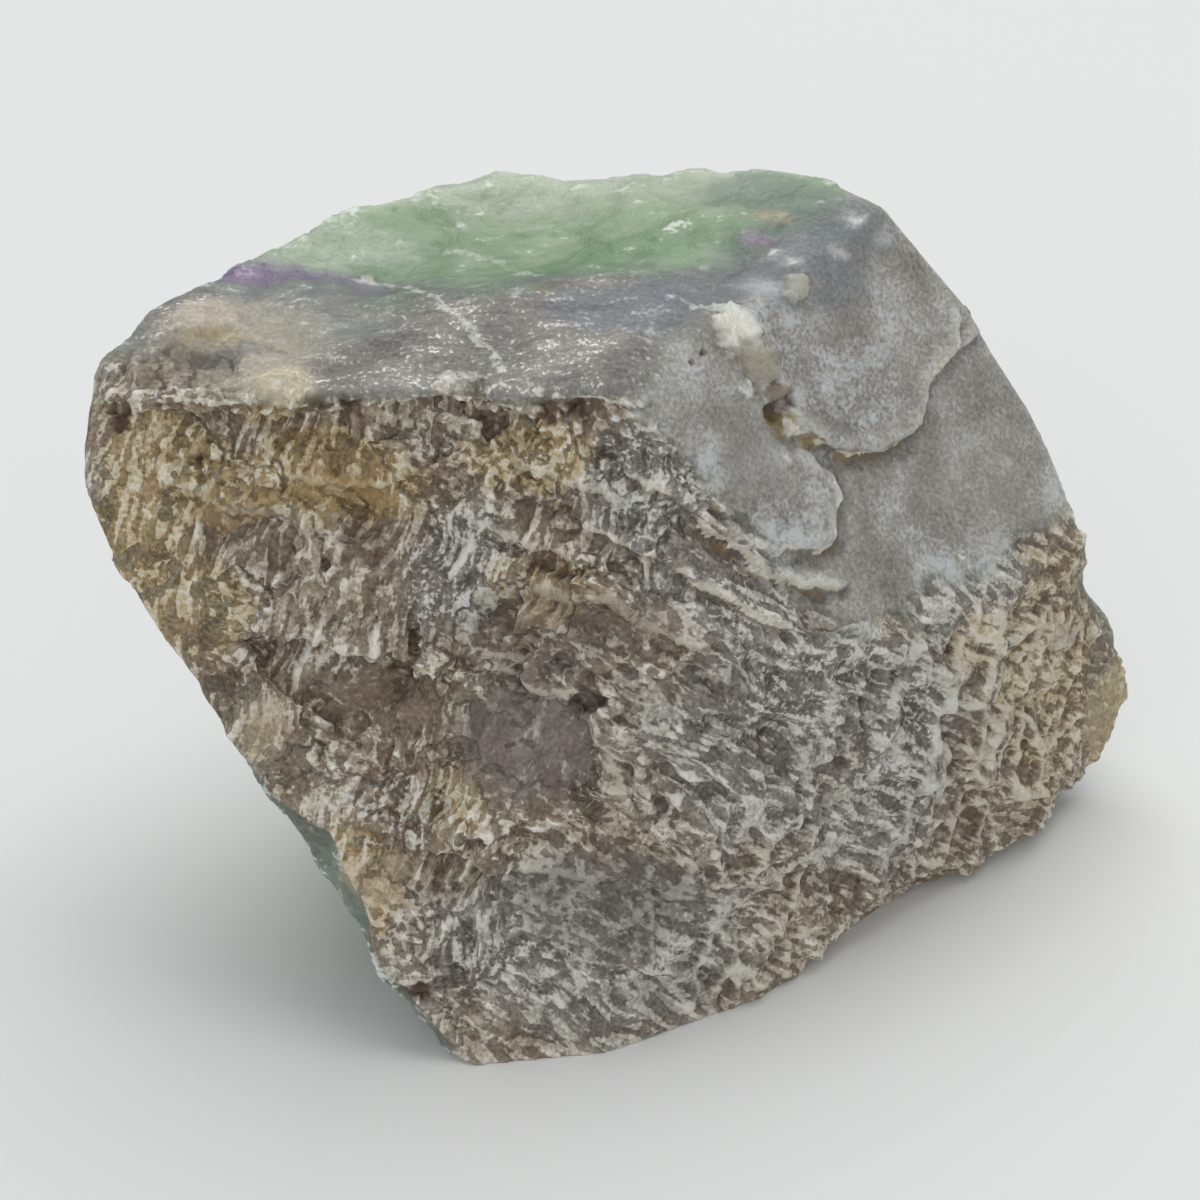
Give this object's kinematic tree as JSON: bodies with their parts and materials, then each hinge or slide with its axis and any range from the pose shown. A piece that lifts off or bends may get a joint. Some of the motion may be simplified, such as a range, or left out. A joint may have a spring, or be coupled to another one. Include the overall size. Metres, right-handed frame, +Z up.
{
  "type": "raw fluorite",
  "caption": "Angular lump of raw green fluorite with a rough weathered front, clean broken faces behind and a flat base, about 10 cm across.",
  "frame": {"origin": "middle of the bounding box, on the resting face", "axes": "+X to the right along the longest side of the stone, +Y away from its rough front, +Z up from the resting face"},
  "size_m": [0.1048, 0.07, 0.0702],
  "materials": {
    "weathered_fluorite": "grey-brown etched skin in front, translucent green cleavage faces elsewhere"
  },
  "bodies": {
    "root": {"raw_fluorite": "weathered_fluorite"}
  },
  "joints": []
}
